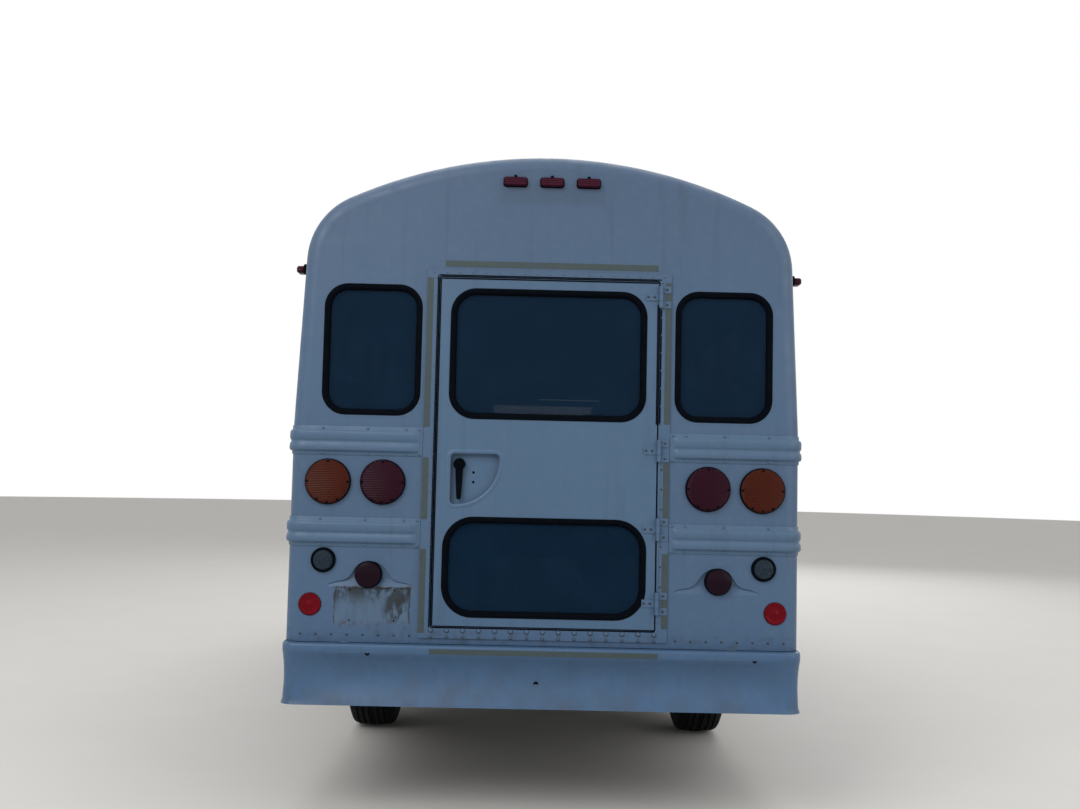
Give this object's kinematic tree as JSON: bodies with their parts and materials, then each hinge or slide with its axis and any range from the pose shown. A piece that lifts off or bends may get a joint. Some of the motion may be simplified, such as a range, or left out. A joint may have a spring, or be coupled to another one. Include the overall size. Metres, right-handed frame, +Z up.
{
  "type": "short narrow school bus on a van chassis",
  "caption": "Short narrow school bus with van cab, rear emergency door, folding entry door, bench seats, steered front wheels and single rear wheels",
  "frame": {"origin": "on the ground under the middle of the bus", "axes": "+X to the bus's right, +Y forward, +Z up"},
  "size_m": [2.636, 6.1, 2.68],
  "materials": {
    "body_paint": "white bus enamel, seen in shade",
    "cab_paint": "white enamel",
    "frame_black": "chassis black",
    "axle_black": "cast and painted",
    "floor_black": "ribbed floor covering",
    "bumper_paint": "painted",
    "front_bumper_steel": "plated",
    "engine_iron": "as cast",
    "tank_steel": "coated",
    "exhaust_steel": "dull",
    "grille_black": "moulded",
    "window_glass": "tinted",
    "sash": "black anodised",
    "lamp_clear": "clear lens",
    "lamp_red": "red lens",
    "lamp_amber": "amber lens",
    "seat_vinyl": "dark vinyl",
    "seat_tube": "painted tube",
    "dash_plastic": "grained",
    "black_plastic": "moulded",
    "handle_black": "black",
    "wheel_paint": "painted steel wheel",
    "tyre_rubber": "worn tread",
    "knuckle_iron": "forged"
  },
  "bodies": {
    "coach": {"side_wall_left": "body_paint", "side_wall_right": "body_paint", "roof": "body_paint", "rear_wall": "body_paint", "front_cap": "body_paint", "rub_rails": "body_paint", "cab_shell": "cab_paint", "rear_bumper": "bumper_paint", "front_bumper": "front_bumper_steel", "frame_rails": "frame_black", "springs": "frame_black", "front_axle": "axle_black", "rear_axle": "axle_black", "drive_shaft": "axle_black", "floor": "floor_black", "wheel_houses": "floor_black", "entry_steps": "floor_black", "cab_floor": "floor_black", "engine": "engine_iron", "fuel_tank": "tank_steel", "exhaust": "exhaust_steel", "grille": "grille_black", "window_glass": "window_glass", "windshield": "window_glass", "quarter_glass": "window_glass", "window_sashes": "sash", "headlamps": "lamp_clear", "reverse_lamps": "lamp_clear", "red_lamps": "lamp_red", "amber_lamps": "lamp_amber", "seats_left": "seat_vinyl", "seats_right": "seat_vinyl", "driver_seat": "seat_vinyl", "seat_frames": "seat_tube", "dashboard": "dash_plastic", "steering_wheel": "dash_plastic", "mirrors": "black_plastic"},
    "hood": {"hood": "cab_paint"},
    "emergency_door": {"emergency_door": "body_paint", "emergency_glass": "window_glass", "door_handle": "handle_black"},
    "driver_door": {"driver_door": "cab_paint", "driver_glass": "window_glass"},
    "entry_leaf_rear": {"entry_leaf_rear": "body_paint", "entry_glass_rear": "window_glass"},
    "entry_leaf_front": {"entry_leaf_front": "body_paint", "entry_glass_front": "window_glass"},
    "knuckle_left": {"knuckle_left": "knuckle_iron"},
    "knuckle_right": {"knuckle_right": "knuckle_iron"},
    "front_wheel_left": {"front_wheel_left": "wheel_paint", "front_tyre_left": "tyre_rubber"},
    "front_wheel_right": {"front_wheel_right": "wheel_paint", "front_tyre_right": "tyre_rubber"},
    "rear_wheel_left": {"rear_wheel_left": "wheel_paint", "rear_tyre_left": "tyre_rubber"},
    "rear_wheel_right": {"rear_wheel_right": "wheel_paint", "rear_tyre_right": "tyre_rubber"}
  },
  "joints": [
    {"name": "hood_hinge", "type": "hinge", "parent": "coach", "child": "hood", "pos_m": [0, 2.246, 1.25945], "axis": [1, 0, 0], "range_deg": [0, 50]},
    {"name": "emergency_door_hinge", "type": "hinge", "parent": "coach", "child": "emergency_door", "pos_m": [0.453, -3.006, 1.4], "axis": [0, 0, 1], "range_deg": [0, 110]},
    {"name": "driver_door_hinge", "type": "hinge", "parent": "coach", "child": "driver_door", "pos_m": [-1.01, 1.718, 1.1], "axis": [0, 0, -1], "range_deg": [0, 65]},
    {"name": "entry_leaf_rear_pivot", "type": "hinge", "parent": "coach", "child": "entry_leaf_rear", "pos_m": [0.9865, 0.815, 1.2], "axis": [0, 0, -1], "range_deg": [0, 88]},
    {"name": "entry_leaf_front_pivot", "type": "hinge", "parent": "coach", "child": "entry_leaf_front", "pos_m": [0.9865, 1.465, 1.2], "axis": [0, 0, 1], "range_deg": [0, 88]},
    {"name": "steer_left", "type": "hinge", "parent": "coach", "child": "knuckle_left", "pos_m": [-0.765, 2.22, 0.387], "axis": [0, 0, 1], "range_deg": [-32, 32]},
    {"name": "steer_right", "type": "hinge", "parent": "coach", "child": "knuckle_right", "pos_m": [0.765, 2.22, 0.387], "axis": [0, 0, 1], "range_deg": [-32, 32]},
    {"name": "front_left_spin", "type": "hinge", "parent": "knuckle_left", "child": "front_wheel_left", "pos_m": [-0.865, 2.22, 0.387], "axis": [1, 0, 0], "continuous": true},
    {"name": "front_right_spin", "type": "hinge", "parent": "knuckle_right", "child": "front_wheel_right", "pos_m": [0.865, 2.22, 0.387], "axis": [1, 0, 0], "continuous": true},
    {"name": "rear_left_spin", "type": "hinge", "parent": "coach", "child": "rear_wheel_left", "pos_m": [-0.865, -1.31, 0.387], "axis": [1, 0, 0], "continuous": true},
    {"name": "rear_right_spin", "type": "hinge", "parent": "coach", "child": "rear_wheel_right", "pos_m": [0.865, -1.31, 0.387], "axis": [1, 0, 0], "continuous": true}
  ],
  "couplings": [
    {"joint": "steer_right", "follows": "steer_left", "ratio": 1},
    {"joint": "entry_leaf_front_pivot", "follows": "entry_leaf_rear_pivot", "ratio": 1}
  ]
}
